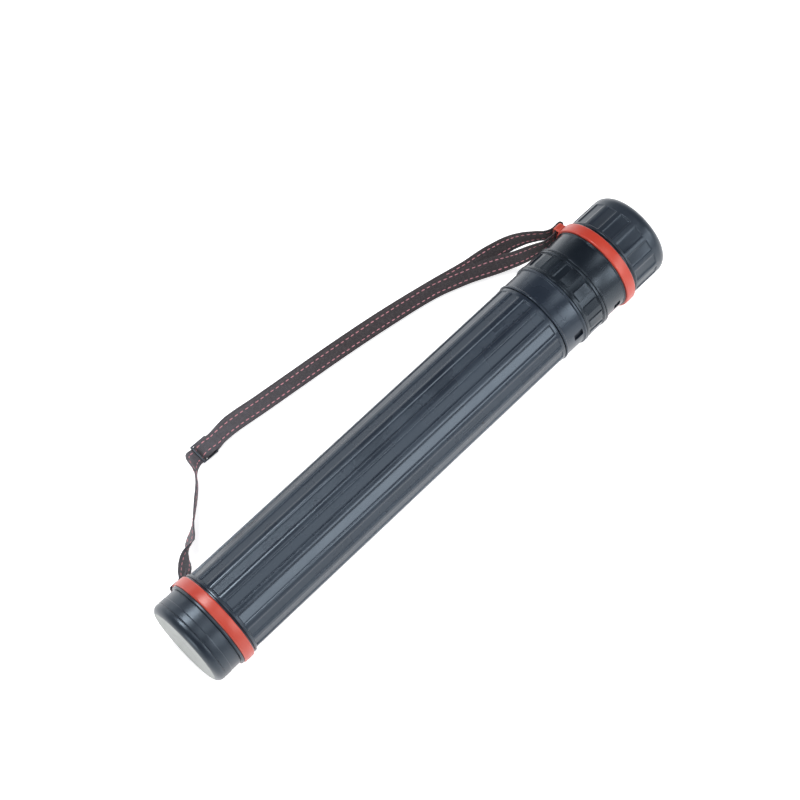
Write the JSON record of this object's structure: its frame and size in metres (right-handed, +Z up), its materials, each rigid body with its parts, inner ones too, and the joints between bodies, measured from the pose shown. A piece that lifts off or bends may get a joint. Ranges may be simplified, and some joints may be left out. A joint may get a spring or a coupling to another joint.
{
  "type": "drawing tube",
  "caption": "Telescopic plastic drawing tube with ribbed body, twist lock, pull-off lid, two red strap rings and a stitched webbing shoulder strap.",
  "frame": {"origin": "centre of the flat end of the bottom cap", "axes": "+X along the tube's axis towards the lid, +Z up as the tube lies, +Y towards the strap"},
  "size_m": [0.627, 0.2126, 0.0998],
  "materials": {
    "body_plastic": "semi-gloss moulded",
    "inner_plastic": "satin",
    "red_plastic": "semi-gloss moulded",
    "slider_plastic": "satin",
    "seal_rubber": "matte",
    "webbing": "woven"
  },
  "bodies": {
    "outer": {"outer_tube": "body_plastic", "bottom_cap": "body_plastic", "bottom_seal": "seal_rubber", "lower_strap_ring": "red_plastic", "lock_collar": "body_plastic", "lock_collet": "inner_plastic", "strap": "webbing", "strap_slider": "slider_plastic"},
    "lock_ring": {"lock_ring": "body_plastic"},
    "inner": {"inner_tube": "inner_plastic", "guide_ring": "inner_plastic", "head": "body_plastic", "head_seal": "seal_rubber", "upper_strap_ring": "red_plastic"},
    "lid": {"lid": "body_plastic", "lid_gasket": "seal_rubber"}
  },
  "joints": [
    {"name": "extend", "type": "slide", "parent": "outer", "child": "inner", "axis": [1, 0, 0], "range_m": [0, 0.39], "deforming": ["strap"]},
    {"name": "lock_turn", "type": "hinge", "parent": "outer", "child": "lock_ring", "pos_m": [0.5197, 0, 0], "axis": [1, 0, 0], "range_deg": [0, 35]},
    {"name": "lid_pull", "type": "slide", "parent": "inner", "child": "lid", "axis": [1, 0, 0], "range_m": [0, 0.06]}
  ]
}
